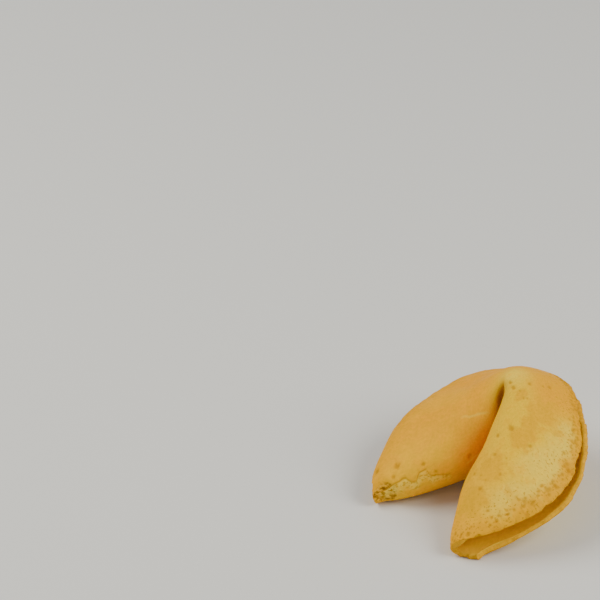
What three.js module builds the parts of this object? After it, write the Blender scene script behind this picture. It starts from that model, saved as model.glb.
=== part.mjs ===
// Fortune cookie: a thin round wafer folded in half, then bent across its own fold so that the
// fold makes a V and the two halves become puffed lobes. Millimetres, +Z up, standing as it rests.
//
// The cookie is worked out in a folding frame first: the fold line lies in the plane z = 0 with
// its bend at the origin, the V opens towards -Y, the upper leaf is z > 0, the lower leaf z < 0.
// Each leaf is strung from cubic sections that leave the fold straight up, go over a crest and
// come down to the lip. The whole is then tipped forward until both tips and the lower crest
// stand on the floor.

import * as THREE from 'three';

// The flat wafer's radius, which is also the way from the bend to a tip along the fold
const WAFER_RADIUS = 38;

// Thickness of the wafer wall
const WALL = 1.9;
const WALL_AT_RIM = 1.25;
const RIM_TAPER_SHARE = 0.25;
const RIM_BULGE = 0.3;
const INNER_SMOOTHING_PASSES = 6;

// The two lobes in plan. Each ends a little short of its tip, as an open channel. The left one has
// a chip in its tip on the side of the bend, with its centre given in the folding frame.
const LOBES = {
  left: {
    sign: -1,
    tip: { out: 15.23, forward: 29.57 },
    foldHandle: { length: 21.88, degrees: 47.45 },
    lipHandle: { length: 32.08, degrees: 56.52 },
    endDegrees: 82.5,
    halfGapAtTip: 2.2,
    foldRiseAtTip: 7.28,
    crestRiseAtTip: 13.27,
    crestSetbackAtTip: 0.43,
    upperBelly: 0,
    lowerBelly: 0,
    tongue: 0,
    chip: { centre: new THREE.Vector3(-13, -27.1, 0.9), radius: 2.7, depth: 0.7 },
  },
  right: {
    sign: 1,
    tip: { out: 8.93, forward: 30.58 },
    foldHandle: { length: 15.66, degrees: 45.76 },
    lipHandle: { length: 30.31, degrees: 38.65 },
    endDegrees: 83,
    halfGapAtTip: 3.53,
    foldRiseAtTip: 5.86,
    crestRiseAtTip: 13.25,
    crestSetbackAtTip: 0.517,
    upperBelly: 1.65,
    lowerBelly: 2.12,
    tongue: 2.99,
  },
};

// Handles at the bend of two plan curves: the crease, which the fold follows, turns sharply there,
// and the shoulder, which the crests follow, turns gently
const CREASE_HANDLE = new THREE.Vector2(1.2, -1.3);
const SHOULDER_HANDLE = new THREE.Vector2(2.2, -0.3);

// The lip line in plan: its middle stands behind the bend
const LIP_MIDDLE = 17.29;
const LIP_MIDDLE_HANDLE = 14.11;
const LIP_ROUNDING_ANGLE = 0.06;

// Half of the gap between the outer faces of the two lips
const HALF_GAP_MIDDLE = 1.3;
const TIP_SPREAD_ANGLE = 0.1;
const GAP_CLOSING_ANGLE = 0.15;

// Sections at the bend: heights of the two handles, and where the crest stands between the
// shoulder and the lip. Each lobe has its own for the tip.
const FOLD_RISE_AT_BEND = 15;
const CREST_RISE_AT_BEND = 23.85;
const CREST_SETBACK_AT_BEND = 0.16;
const CREST_SETBACK_RATE = 3.72;
const BEND_SOFTNESS = 0.07;

// The tips stay open channels with a round fold
const LEAST_FOLD_RISE = 2.0;
const LEAST_CREST_RISE = 1.0;

// Both lips of the right lobe belly out past the lip line, the lower one further, and the lower
// one ends in a tongue at the tip
const UPPER_BELLY_CENTRE = 0.68;
const UPPER_BELLY_WIDTH = 0.17;
const LOWER_BELLY_CENTRE = 0.63;
const LOWER_BELLY_WIDTH = 0.21;
const TONGUE_START = 0.886;
const TONGUE_FULL = 1;

// The chip in the left tip has a flat floor and steep sides
const CHIP_STEEPNESS = 4;

// Uneven baking: low swellings over the faces, clear of the bend, as three crossed waves
const SWELLINGS = [
  { height: 0.2, wavesPerMm: new THREE.Vector3(1 / 25, 0, 1 / 24), phase: 0 },
  { height: 0.14, wavesPerMm: new THREE.Vector3(-1 / 42, 1 / 17, 0), phase: 1.9 },
  { height: 0.08, wavesPerMm: new THREE.Vector3(0, 1 / 21, 1 / 12), phase: 4.2 },
];
const SWELLING_START = 0.02;
const SWELLING_FULL = 0.2;

// A ragged rim and broken tips: how far they wander, over which lengths, and how fast it fades
// away from the edge
const RIM_WOBBLE = { reach: 0.2, lengths: [19, 11, 7], phase: 2, fade: 4 };
const TIP_WOBBLE = { reach: 0.4, lengths: [3.7, 2.3], phase: 3, fade: 12 };

// Rest: how far the cookie is tipped, and how deep its three contacts are worn flat
const REST_TILT_DEGREES = 20.46;
const REST_ROLL_DEGREES = -1.5;
const WORN_FLAT = 0.35;

// Facets along the lips and from lip to lip
const STEPS_ALONG = 64;
const STEPS_ACROSS = 36;

const QUARTER_TURN = Math.PI / 2;

const mix = (a, b, share) => a + (b - a) * share;
const radians = (degrees) => THREE.MathUtils.degToRad(degrees);
const smooth = (x, from, to) => THREE.MathUtils.smoothstep(x, from, to);
const bell = (x, centre, width) => Math.exp(-(((x - centre) / width) ** 2));

// Value rounded off near zero, so that a line leaves it square and then runs straight
function rounded(value, radius) {
  return Math.hypot(value, radius) - radius;
}

// Plan curve along the lobe: out of the bend by the given handle, then on to the tip
function lobeLine(lobe, bendHandle) {
  const { tip, foldHandle } = lobe;
  const turn = radians(foldHandle.degrees);
  return new THREE.CubicBezierCurve(
    new THREE.Vector2(0, 0),
    bendHandle,
    new THREE.Vector2(
      tip.out - foldHandle.length * Math.sin(turn),
      -tip.forward + foldHandle.length * Math.cos(turn),
    ),
    new THREE.Vector2(tip.out, -tip.forward),
  );
}

// Plan curve of the lip: round the back of the cookie and forward to the tip
function lipLine(lobe) {
  const { tip, lipHandle } = lobe;
  const turn = radians(lipHandle.degrees);
  return new THREE.CubicBezierCurve(
    new THREE.Vector2(0, LIP_MIDDLE),
    new THREE.Vector2(LIP_MIDDLE_HANDLE, LIP_MIDDLE),
    new THREE.Vector2(
      tip.out + lipHandle.length * Math.cos(turn),
      -tip.forward + lipHandle.length * Math.sin(turn),
    ),
    new THREE.Vector2(tip.out, -tip.forward),
  );
}

// Mean of sines at unrelated lengths: a smooth wobble between about -1 and 1
function wobble(distance, lengths, phase) {
  const waves = lengths.map((length, k) => {
    const turns = (2 * Math.PI * distance) / length;
    return Math.sin(turns + phase * (k + 1));
  });
  return waves.reduce((sum, wave) => sum + wave, 0) / lengths.length;
}

// How far the outer face stands off at a point of the row u: swellings less the chip
function relief(point, u) {
  const clear = smooth(Math.abs(u), SWELLING_START, SWELLING_FULL);
  const swelling = SWELLINGS.reduce((sum, { height, wavesPerMm, phase }) => (
    sum + clear * height * Math.sin(2 * Math.PI * point.dot(wavesPerMm) + phase)), 0);
  const { centre, radius, depth } = LOBES.left.chip;
  return swelling - depth * Math.exp(-((point.distanceTo(centre) / radius) ** CHIP_STEEPNESS));
}

// The section at one angle along the lobe (0 at the bend, a quarter turn at the tip)
function section(lobe, leaf, angle) {
  const toTip = QUARTER_TURN - angle;
  const along = Math.sin(angle);
  const leafLength = Math.cos(angle);
  const lobeShare = rounded(along, BEND_SOFTNESS) / rounded(1, BEND_SOFTNESS);
  const lipShare = 1
    - rounded(toTip, LIP_ROUNDING_ANGLE) / rounded(QUARTER_TURN, LIP_ROUNDING_ANGLE);

  const fold = lobeLine(lobe, CREASE_HANDLE).getPoint(along);
  const shoulder = lobeLine(lobe, SHOULDER_HANDLE).getPoint(along);
  const lip = lipLine(lobe).getPoint(lipShare);
  const closing = Math.hypot(toTip, TIP_SPREAD_ANGLE) / Math.hypot(toTip, GAP_CLOSING_ANGLE);
  const halfGap = closing * mix(HALF_GAP_MIDDLE, lobe.halfGapAtTip, lipShare ** 2);

  const outward = lip.clone().sub(fold).normalize();
  if (leaf < 0) {
    const tongue = lobe.tongue * smooth(lipShare, TONGUE_START, TONGUE_FULL);
    const turn = radians(lobe.lipHandle.degrees);
    lip.addScaledVector(
      outward,
      lobe.lowerBelly * bell(lipShare, LOWER_BELLY_CENTRE, LOWER_BELLY_WIDTH),
    );
    lip.addScaledVector(new THREE.Vector2(Math.sin(turn), -Math.cos(turn)), tongue);
  } else {
    lip.addScaledVector(
      outward,
      lobe.upperBelly * bell(lipShare, UPPER_BELLY_CENTRE, UPPER_BELLY_WIDTH),
    );
  }

  const foldRise = leafLength * mix(FOLD_RISE_AT_BEND, lobe.foldRiseAtTip, lobeShare);
  const crestRise = leafLength * mix(CREST_RISE_AT_BEND, lobe.crestRiseAtTip, lobeShare);
  const setback = mix(
    CREST_SETBACK_AT_BEND,
    lobe.crestSetbackAtTip,
    1 - Math.exp(-CREST_SETBACK_RATE * lobeShare),
  );
  const crest = shoulder.lerp(lip, setback);
  const place = (plan, height) => new THREE.Vector3(lobe.sign * plan.x, plan.y, leaf * height);
  return new THREE.CubicBezierCurve3(
    place(fold, 0),
    place(fold, Math.hypot(foldRise, LEAST_FOLD_RISE)),
    place(crest, Math.hypot(crestRise, LEAST_CREST_RISE) + halfGap / 2),
    place(lip, halfGap),
  );
}

// Outer face of the cookie: u runs from the left tip (-1) to the right (1), v from the lower lip
// (-1) over the fold (0) to the upper lip (1). The rim wobbles because the ends of u and v do.
function outerPoint(u, v) {
  const lobe = u < 0 ? LOBES.left : LOBES.right;
  const leaf = v < 0 ? -1 : 1;
  const endAngle = radians(lobe.endDegrees);
  const lipLength = WAFER_RADIUS * QUARTER_TURN * u;
  const leafLength = WAFER_RADIUS * Math.cos(u * endAngle);
  const ragged = RIM_WOBBLE.reach * wobble(lipLength, RIM_WOBBLE.lengths, RIM_WOBBLE.phase + leaf);
  const broken = TIP_WOBBLE.reach * wobble(leafLength * v, TIP_WOBBLE.lengths, TIP_WOBBLE.phase);
  const cutBack = (Math.abs(broken) / WAFER_RADIUS) * u ** TIP_WOBBLE.fade;
  const reach = 1 + (ragged / leafLength) * v ** RIM_WOBBLE.fade;
  const angle = Math.abs(u) * endAngle * (1 - cutBack);
  return section(lobe, leaf, angle).getPoint(Math.abs(v) * reach);
}

// Grid of points over the face, addressed by whole steps
function faceGrid(pointAt) {
  const rows = [];
  for (let i = 0; i <= STEPS_ALONG; i += 1) {
    const u = (2 * i) / STEPS_ALONG - 1;
    const row = [];
    for (let j = 0; j <= STEPS_ACROSS; j += 1) {
      row.push(pointAt(u, (2 * j) / STEPS_ACROSS - 1));
    }
    rows.push(row);
  }
  return rows;
}

// Outward normal from the neighbours in the grid
function normalAt(grid, i, j) {
  const before = grid[Math.max(i - 1, 0)][j];
  const after = grid[Math.min(i + 1, STEPS_ALONG)][j];
  const below = grid[i][Math.max(j - 1, 0)];
  const above = grid[i][Math.min(j + 1, STEPS_ACROSS)];
  const along = after.clone().sub(before);
  const across = above.clone().sub(below);
  return along.cross(across).normalize();
}

// Wall thickness, thinner towards the rim of the wafer
function wallAt(i, j) {
  const u = Math.abs((2 * i) / STEPS_ALONG - 1);
  const v = Math.abs((2 * j) / STEPS_ACROSS - 1);
  const nearRim = Math.max(smooth(v, 1 - RIM_TAPER_SHARE, 1), smooth(u, 1 - RIM_TAPER_SHARE, 1));
  return mix(WALL, WALL_AT_RIM, nearRim);
}

// The inner face runs smoother than the outer one: each point inside the grid moves halfway to
// the mean of its four neighbours, several times over
function smoothed(grid) {
  let rows = grid;
  for (let pass = 0; pass < INNER_SMOOTHING_PASSES; pass += 1) {
    rows = rows.map((row, i) => row.map((point, j) => {
      const atEnd = i === 0 || i === STEPS_ALONG;
      const atLip = j === 0 || j === STEPS_ACROSS;
      if (atEnd || atLip) return point;
      const neighbours = [rows[i - 1][j], rows[i + 1][j], row[j - 1], row[j + 1]];
      return neighbours
        .reduce((sum, neighbour) => sum.add(neighbour), new THREE.Vector3())
        .divideScalar(neighbours.length)
        .lerp(point, 0.5);
    }));
  }
  return rows;
}

// The four edges of the grid as one closed loop of [i, j]
function edgeLoop() {
  const loop = [];
  for (let i = 0; i < STEPS_ALONG; i += 1) loop.push([i, 0]);
  for (let j = 0; j < STEPS_ACROSS; j += 1) loop.push([STEPS_ALONG, j]);
  for (let i = STEPS_ALONG; i > 0; i -= 1) loop.push([i, STEPS_ACROSS]);
  for (let j = STEPS_ACROSS; j > 0; j -= 1) loop.push([0, j]);
  return loop;
}

// Turns the folded cookie to how it rests, wears its contacts flat and centres it on the floor
function settle(points) {
  const turn = new THREE.Matrix4()
    .makeRotationX(radians(REST_TILT_DEGREES))
    .multiply(new THREE.Matrix4().makeRotationY(radians(REST_ROLL_DEGREES)));
  points.forEach((point) => point.applyMatrix4(turn));
  const box = new THREE.Box3().setFromPoints(points);
  const middle = box.getCenter(new THREE.Vector3());
  points.forEach((point) => {
    point.x -= middle.x;
    point.y -= middle.y;
    point.z = Math.max(point.z - box.min.z - WORN_FLAT, 0);
  });
}

// Closed wall of the wafer: outer face, inner face and a rounded rim between them
function waferGeometry() {
  const smoothFace = faceGrid(outerPoint);
  const points = [];
  const outer = smoothFace.map((row, i) => row.map((point, j) => {
    const height = relief(point, (2 * i) / STEPS_ALONG - 1);
    return points.push(point.clone().addScaledVector(normalAt(smoothFace, i, j), height)) - 1;
  }));
  const offsetFace = smoothFace.map((row, i) => row.map((point, j) => (
    point.clone().addScaledVector(normalAt(smoothFace, i, j), -wallAt(i, j)))));
  const inner = smoothed(offsetFace).map((row) => row.map((point) => points.push(point) - 1));

  const loop = edgeLoop();
  const rim = loop.map(([i, j]) => {
    const middle = points[outer[i][j]].clone().add(points[inner[i][j]]).multiplyScalar(0.5);
    const inside = smoothFace[THREE.MathUtils.clamp(i, 1, STEPS_ALONG - 1)][
      THREE.MathUtils.clamp(j, 1, STEPS_ACROSS - 1)];
    const outward = smoothFace[i][j].clone().sub(inside).normalize();
    return points.push(middle.addScaledVector(outward, RIM_BULGE)) - 1;
  });

  const triangles = [];
  const quad = (a, b, c, d) => triangles.push(a, b, c, a, c, d);
  for (let i = 0; i < STEPS_ALONG; i += 1) {
    for (let j = 0; j < STEPS_ACROSS; j += 1) {
      quad(outer[i][j], outer[i + 1][j], outer[i + 1][j + 1], outer[i][j + 1]);
      quad(inner[i][j], inner[i][j + 1], inner[i + 1][j + 1], inner[i + 1][j]);
    }
  }
  loop.forEach(([i, j], k) => {
    const next = (k + 1) % loop.length;
    const [iNext, jNext] = loop[next];
    quad(outer[i][j], rim[k], rim[next], outer[iNext][jNext]);
    quad(rim[k], inner[i][j], inner[iNext][jNext], rim[next]);
  });

  settle(points);
  const geometry = new THREE.BufferGeometry().setFromPoints(points);
  geometry.setIndex(triangles);
  geometry.computeVertexNormals();
  return geometry;
}

const crust = new THREE.MeshStandardMaterial({ color: 0xe3a640, roughness: 0.62, metalness: 0 });
const cookie = new THREE.Mesh(waferGeometry(), crust);
cookie.name = 'cookie';

const fortuneCookie = new THREE.Group();
fortuneCookie.add(cookie);

export default fortuneCookie;
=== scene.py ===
"""Fortune cookie, dressed over its solid: a baked wafer folded in half and bent across its fold.

The wafer is one closed surface. Its outer face, its inner face and the broken rim between them are
all worked out from the place of a point on the flat round wafer before it was folded.
"""
import math

import bpy
import numpy as np
from bpy.props import FloatProperty, FloatVectorProperty, IntProperty, PointerProperty
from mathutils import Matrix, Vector


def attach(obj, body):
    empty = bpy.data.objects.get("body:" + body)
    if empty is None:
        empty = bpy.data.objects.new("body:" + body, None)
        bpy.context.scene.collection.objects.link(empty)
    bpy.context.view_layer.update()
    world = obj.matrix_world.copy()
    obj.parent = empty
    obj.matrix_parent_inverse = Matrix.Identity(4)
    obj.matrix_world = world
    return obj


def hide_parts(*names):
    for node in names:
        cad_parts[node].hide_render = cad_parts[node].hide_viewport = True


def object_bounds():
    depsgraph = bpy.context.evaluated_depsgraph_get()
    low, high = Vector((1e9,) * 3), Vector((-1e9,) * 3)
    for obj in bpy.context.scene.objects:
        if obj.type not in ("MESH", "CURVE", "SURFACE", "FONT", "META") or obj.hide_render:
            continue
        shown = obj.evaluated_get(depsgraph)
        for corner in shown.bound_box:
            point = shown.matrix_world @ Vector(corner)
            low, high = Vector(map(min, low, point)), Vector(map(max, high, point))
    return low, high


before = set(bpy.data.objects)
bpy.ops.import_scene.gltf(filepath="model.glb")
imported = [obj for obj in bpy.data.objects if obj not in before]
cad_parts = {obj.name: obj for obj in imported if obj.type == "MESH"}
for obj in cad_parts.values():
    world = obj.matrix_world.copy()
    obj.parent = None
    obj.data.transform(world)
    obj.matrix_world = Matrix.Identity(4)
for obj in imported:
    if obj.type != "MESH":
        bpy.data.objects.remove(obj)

bl_info = {
    "name": "Fortune Cookie",
    "version": (1, 0, 0),
    "blender": (4, 5, 0),
    "location": "View3D > Sidebar > Cookie",
    "description": "Folded wafer cookie with a baked crust, and the stage it is shown on",
    "category": "Add Mesh",
}

CAD_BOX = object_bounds()
MM = 0.001
QUARTER_TURN = math.pi / 2
LEAST_LENGTH = 1e-12

# Whole numbers that scramble a cell's place and a seed into random bits
CELL_FACTORS = (374761393, 668265263, 1274126177)
SEED_FACTOR = 974634777
SCRAMBLING = ((13, 1103515245), (16, 2246822519))
LAST_SHIFT = 15
ALL_BITS = 0xFFFFFFFF
HALF_RANGE = 0x7FFFFFFF

# ---------------- shape of the folded wafer (mm)

# The flat wafer's radius, which is also the way from the bend to a tip along the fold
WAFER_RADIUS = 38.0

# The two lobes in plan, in the folding frame: fold line in z = 0, bend at the origin, V to -Y
LEFT_LOBE = {
    "sign": -1.0,
    "tip": (15.23, 29.57),
    "fold_handle": (21.88, 47.45),
    "lip_handle": (32.08, 56.52),
    "end_degrees": 82.5,
    "half_gap_at_tip": 2.2,
    "fold_rise": 7.28,
    "crest_rise": 13.27,
    "crest_setback": 0.43,
    "upper_belly": 0.0,
    "lower_belly": 0.0,
    "tongue": 0.0,
}
RIGHT_LOBE = {
    "sign": 1.0,
    "tip": (8.93, 30.58),
    "fold_handle": (15.66, 45.76),
    "lip_handle": (30.31, 38.65),
    "end_degrees": 83.0,
    "half_gap_at_tip": 3.53,
    "fold_rise": 5.86,
    "crest_rise": 13.25,
    "crest_setback": 0.517,
    "upper_belly": 1.65,
    "lower_belly": 2.12,
    "tongue": 2.99,
}

# Handles at the bend of two plan curves: the crease, which the fold follows, turns sharply there,
# and the shoulder, which the crests follow, turns gently
CREASE_HANDLE = (1.2, -1.3)
SHOULDER_HANDLE = (2.2, -0.3)

# The lip line, and half the gap between the two lips
LIP_MIDDLE = 17.29
LIP_MIDDLE_HANDLE = 14.11
LIP_ROUNDING_ANGLE = 0.06
HALF_GAP_MIDDLE = 1.3
TIP_SPREAD_ANGLE = 0.1
GAP_CLOSING_ANGLE = 0.15

# Sections from fold to lip at the bend. Each lobe has its own rises and setback for the tip.
FOLD_RISE_AT_BEND = 15.0
CREST_RISE_AT_BEND = 23.85
CREST_SETBACK_AT_BEND = 0.16
CREST_SETBACK_RATE = 3.72
BEND_SOFTNESS = 0.07
LEAST_FOLD_RISE = 2.0
LEAST_CREST_RISE = 1.0

# Both lips of the right lobe belly out past the lip line, the lower one further, and the lower
# one ends in a tongue: middle and width of each belly, as shares of the way along the lip
UPPER_BELLY = (0.68, 0.17)
LOWER_BELLY = (0.63, 0.21)
TONGUE_START = 0.886
TONGUE_FULL = 1.0

# Powers with which the broken tips and the ragged lips die out inwards
TIP_FADE_POWER = 12
LIP_FADE_POWER = 4

# How the cookie rests, and where its bend then stands from the middle of its footprint
REST_TILT_DEGREES = 20.46
REST_ROLL_DEGREES = -1.5
BEND_PLACE = (0.368, 6.114, 12.611)

# Low swellings of the faces: height, waves a millimetre along each axis, phase
SWELLINGS = (
    (0.20, (1 / 25, 0.0, 1 / 24), 0.0),
    (0.14, (-1 / 42, 1 / 17, 0.0), 1.9),
    (0.08, (0.0, 1 / 21, 1 / 12), 4.2),
)
SWELLING_RANGE = (0.02, 0.2)

# A roughness is a height and the size of its cells.

# The chip in the left tip: its middle in the folding frame, radius and depth. The radius of its
# crumb is a share of the chip's, with a rough edge that comes in over these distances, and its
# crags are sunk a little and cut off at a height.
CHIP_CENTRE = (-13.0, -27.1, 0.9)
CHIP_RADIUS = 2.7
CHIP_DEPTH = 0.7
CRUMB_SHARE = 0.98
CRUMB_EDGE_ROUGHNESS = (0.25, 1.3)
CRUMB_FADE = (-0.15, 0.25)
CRAG_ROUGHNESS = (0.4, 0.9)
CRAG_SINK = 0.16
CRAG_LIMIT = 0.12

# Ragged rim: long waves as on the solid, crumbs, and bites that only take away. The waves are
# given as height, lengths and phase, and the two leaves and the two ends take their noise from
# places that lie apart.
RIM_WAVES = (0.2, (19.0, 11.0, 7.0), 2.0)
TIP_WAVES = (0.4, (3.7, 2.3), 3.0)
RIM_CRUMB_CELL = 1.4
TIP_CRUMB_CELL = 1.1
LEAVES_APART = 40.0
ENDS_APART = 60.0

# Bites: how many, how far they may lie from the middle of the lip, their half widths, and their
# depths as shares of that
BITE_COUNT = 50
BITE_REACH = 60.0
BITE_WIDTHS = (0.5, 1.1)
BITE_SLANT = (0.06, 0.17)

# Worn places of the right lobe's two lips, as place along the lip, half width and depth
UPPER_LIP_WEAR = (16.8, 6.5, 0.55)
LOWER_LIP_WEAR = (56.5, 3.2, 0.7)

# The broken edge between the two faces: how far it bulges, crumbles and is set back, the grid
# steps that give its direction, and the share of the way to the rim over which the wall thins
RIM_BULGE = 0.3
RIM_ROUGHNESS = (0.2, 0.8)
RIM_SET_BACK = 0.1
RIM_DIRECTION_STEPS = 2
RIM_TAPER_SHARE = 0.25

# Grid steps over the outer face, along the lips and from lip to lip. The inner face has half.
STEPS_ALONG = 384
STEPS_ACROSS = 192
RIM_LOOPS = 3
LIP_CROWDING = 0.3
INNER_SMOOTHING_PASSES = 48

# Blisters and grain of the outer face, which only sink in
BLISTER_ROUGHNESS = (0.12, 6.0)
GRAIN_ROUGHNESS = (0.035, 0.9)

# Pores: the share that lies in a band inside the rim, the band's radius and spread, the share of
# the wafer's area that the rest keep to, their radii, how uneven they are, and the large ones:
# place on the flat wafer and radius
PORE_BAND_SHARE = 0.84
PORE_BAND = (36.6, 0.65)
PORE_AREA_SHARE = 0.95
PORE_RADII = (0.2, 0.45)
PORE_ROUGHNESS = (0.35, 0.45)
LARGE_PORES = (
    (33.2, 14.1, 0.5), (31.6, 18.7, 0.6), (30.7, 20.6, 0.45), (26.9, 25.2, 0.45),
    (22.5, 29.0, 0.5), (19.5, 16.1, 0.6), (19.3, 12.9, 0.4), (29.6, 7.7, 0.5),
    (8.1, 18.0, 0.45), (-19.4, 2.1, 0.6), (-25.7, 0.1, 0.45), (-29.6, 4.4, 0.5),
    (-34.1, 5.2, 0.7), (-37.0, 4.9, 0.5), (-34.6, 3.4, 0.45), (-27.5, 2.4, 0.4),
)

# The flaked crust along the fold of the left lobe: its upper edge on the flat wafer and how rough
# that is, how far both ends fade, the distances below the edge over which the strip comes in and
# fades out again and how rough that is, how much lower it lies, and its crags
FLAKE_EDGE = (
    (-36.4, 0.9), (-35.0, 2.1), (-33.8, 2.4), (-32.6, 2.7), (-32.0, 1.7), (-31.2, 1.8),
    (-30.4, 3.0), (-29.3, 3.5), (-28.6, 1.9), (-27.0, 1.4), (-25.4, 0.2),
)
FLAKE_EDGE_ROUGHNESS = (0.3, 0.9)
FLAKE_ENDS = (0.6, 0.9)
FLAKE_START = (0.0, 0.2)
FLAKE_FADE = (0.9, 2.4)
FLAKE_FADE_ROUGHNESS = (0.5, 1.6)
FLAKE_STEP = 0.05
FLAKE_CRAGS = 0.1
FLAKE_CRAG_CELL = 0.8

# The crack along the upper edge of the flaked crust
CRACK_WIDTH = 0.17
CRACK_DEPTH = 0.2

# Pale scratches in the left lobe: both ends on the flat wafer, their width and depth, and how far
# they bend
SCRATCHES = (
    (-21.0, 11.3, -9.8, 9.9), (-21.5, 0.5, -17.0, 1.3),
)
SCRATCH_WIDTH = 0.18
SCRATCH_DEPTH = 0.07
SCRATCH_ROUGHNESS = (0.35, 3.0)

# The crease under the bend, as its half width and where it fades out on the flat wafer: the cut
# just below its end, and the painted shade round it, a darker colour where the crease's shadow falls
CREASE_CUT = (3.8, 14.2, 16.8)
CREASE_CUT_START = (8.0, 12.0)
CREASE_CUT_DEPTH = 1.0
CREASE_SHADE = (6.5, 12.5, 19.0)

# The painted highlight on the knuckle over the bend, which makes it pale: its middle on the flat
# wafer and its reach
KNUCKLE_HIGHLIGHT = (1.5, 19.5, 5.5)

# How far from the fold the inside is darkened by painted shade, deep in the fold
INNER_FOLD_SHADE_REACH = 4.0

# Patches of deeper gold on the right lobe's upper leaf: place on the flat wafer and radius
GOLD_PATCHES = (
    (17.0, 24.5, 4.2), (18.8, 19.6, 2.4), (21.8, 17.4, 3.4), (26.5, 11.0, 4.2),
    (30.5, 5.5, 3.6), (11.5, 20.0, 2.0), (25.0, 5.5, 3.2),
)

# Masks by place on the flat wafer, as shares of its radius: the left lobe, the right lobe's flank
# by the fold, the left lobe's low side by the fold, and the back over the bend, where painted shade
# falls behind the crest. A width is of a bell about the fold, and a range goes along the fold
# towards the tip.
LEFT_RANGE = (0.02, 0.45)
FLANK_WIDTH = 0.24
FLANK_RANGE = (0.15, 0.45)
LOW_SIDE_WIDTH = 0.3
LOW_SIDE_RANGE = (0.35, 0.7)
BACK_START = (0.5, 0.68)
BACK_END = (0.35, 0.6)

# How far in the broken edge counts as lying, from the outer face (0) to the inner one (1), how
# much of it looks like broken crumb, and how far apart the two faces take their noise (mm)
RIM_LAYER = 0.5
RIM_CRUMB = 0.18
LAYERS_APART = 10.0

# ---------------- baked crust

# Noises over the flat wafer: waves a metre, layers of detail, and how strong each finer layer is
BROAD_NOISE = (90.0, 3.0, 0.55)
PATCH_NOISE = (260.0, 4.0, 0.6)
BLOTCH_NOISE = (420.0, 5.0, 0.65)
FINE_NOISE = (1500.0, 3.0, 0.6)
SPECK_NOISE = (2300.0, 1.0, 0.5)

# The span that most of a noise's values lie in, and those over which a mark comes in
NOISE_SPAN = (0.3, 0.7)
LOW_SIDE_SPAN = (0.35, 0.6)
GOLDEN_SPAN = (0.45, 0.62)
SPOT_SPAN = (0.5, 0.62)
GOLD_PATCH_SPAN = (0.3, 0.75)
SCORCHED_SPAN = (0.48, 0.6)
CRUMB_SPAN = (0.4, 0.6)
FLAKE_SPAN = (0.35, 0.6)
FLAKE_GRAIN_SPAN = (0.36, 0.5)
SPECK_SPAN = (0.6, 0.66)
FINE_SPAN = (0.35, 0.7)
BLOTCH_SPAN = (0.35, 0.65)
ROUGHNESS_SPAN = (0.35, 0.65)

# Spans of other masks: where the tan leaves no pale ring, where the left lobe's specks thin out,
# where the inner face's own colour comes in through the wall, and where the specks stop in it
TAN_SPAN = (0.1, 0.7)
LEFT_SPECK_SPAN = (0.2, 0.8)
INSIDE_SPAN = (0.3, 0.8)
SPECK_END_SPAN = (0.0, 0.2)

# How far noise moves the rings of colour in or out, as shares of the wafer's radius
RING_SHIFT_BROAD = 0.045
RING_SHIFT_PATCH = 0.015
LIP_SHIFT = 0.02

# Rings of colour, as shares of the wafer's radius: from where to where each comes in or goes out
PALE_RING = (0.8, 0.9)
PALE_RING_END = (0.95, 0.985)
SPOTS_END = (0.86, 0.95)
TOASTED_RING = (0.925, 0.985)
SCORCHED_RING = (0.975, 1.0)
SPECK_RING = (0.84, 0.93)

# How strongly each colour is laid over the ones before it, from 0 to 1. The tan also lays painted
# shade on the back, the pale a painted highlight on the knuckle, and the crease and the inner
# fold are painted shade.
TAN_STRENGTH = 0.85
PALE_STRENGTH = 0.8
SPOT_STRENGTH = 0.9
TOASTED_STRENGTH = 0.85
SCORCHED_STRENGTH = 0.4
CREASE_SHADE_STRENGTH = 0.85
INNER_FOLD_SHADE_STRENGTH = 0.6
CRUMB_STRENGTH = 0.9
PORE_STRENGTH = 0.72

# How much of the golden colour the left lobe keeps: on its low side, and in broad patches
LOW_SIDE_GOLDEN = (0.3, 0.6)
BROAD_GOLDEN = (0.0, 0.25)

# Gold spots: how strong at most, what is left of them at the rim, and how far noise moves the
# edges of the gold patches
SPOT_MOST = 0.5
SPOT_AT_RIM = 0.25
GOLD_PATCH_SHIFT = 0.35

# How much the flaked strip shows, and the specks: on the golden crust and in the band, and on the
# left lobe
FLAKE_SHARES = (0.25, 0.75)
SPECK_SHARES = (0.3, 1.0)
SPECK_SHARE_LEFT = 0.25

# Shades of the fine noise and of the blotches, whose sum multiplies the colour
FINE_SHADES = (0.43, 0.54)
BLOTCH_SHADES = (0.46, 0.53)

# Finish: height of the grain (m) and how strongly it shows, roughness and specular
GRAIN_BUMP = 0.00007
GRAIN_BUMP_STRENGTH = 0.9
CRUST_ROUGHNESS = (0.48, 0.62)
CRUST_SPECULAR = 0.06

# ---------------- stage (m)

FLOOR_SIZE = 4.0
FLOOR_ROUGHNESS = 0.7
FILL_COLOUR = (1.0, 0.97, 0.9)
LAMP_COLOUR = (1.0, 0.92, 0.7)
LAMP_DISTANCE = 0.6
KEY_DIRECTION = (-0.7, -0.44, 0.9)
KEY_SIZE = 0.45
SIDE_DIRECTION = (0.85, 0.35, 0.85)
SIDE_SIZE = 0.4
SENSOR_WIDTH = 36.0
CAMERA_PLACE = (0.37111, -0.45624, 0.45082)
CAMERA_AIM = (-0.08054, 0.02623, 0.0)


def mix(low, high, share):
    return low + (high - low) * share


def smooth(x, start, full):
    """0 up to start, 1 from full on, and the cubic 3t^2 - 2t^3 between them."""
    t = np.clip((x - start) / (full - start), 0.0, 1.0)
    return t * t * (3.0 - 2.0 * t)


def rounded(value, radius):
    """The value, rounded off near zero: hypot(value, radius) less the radius."""
    return np.hypot(value, radius) - radius


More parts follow.
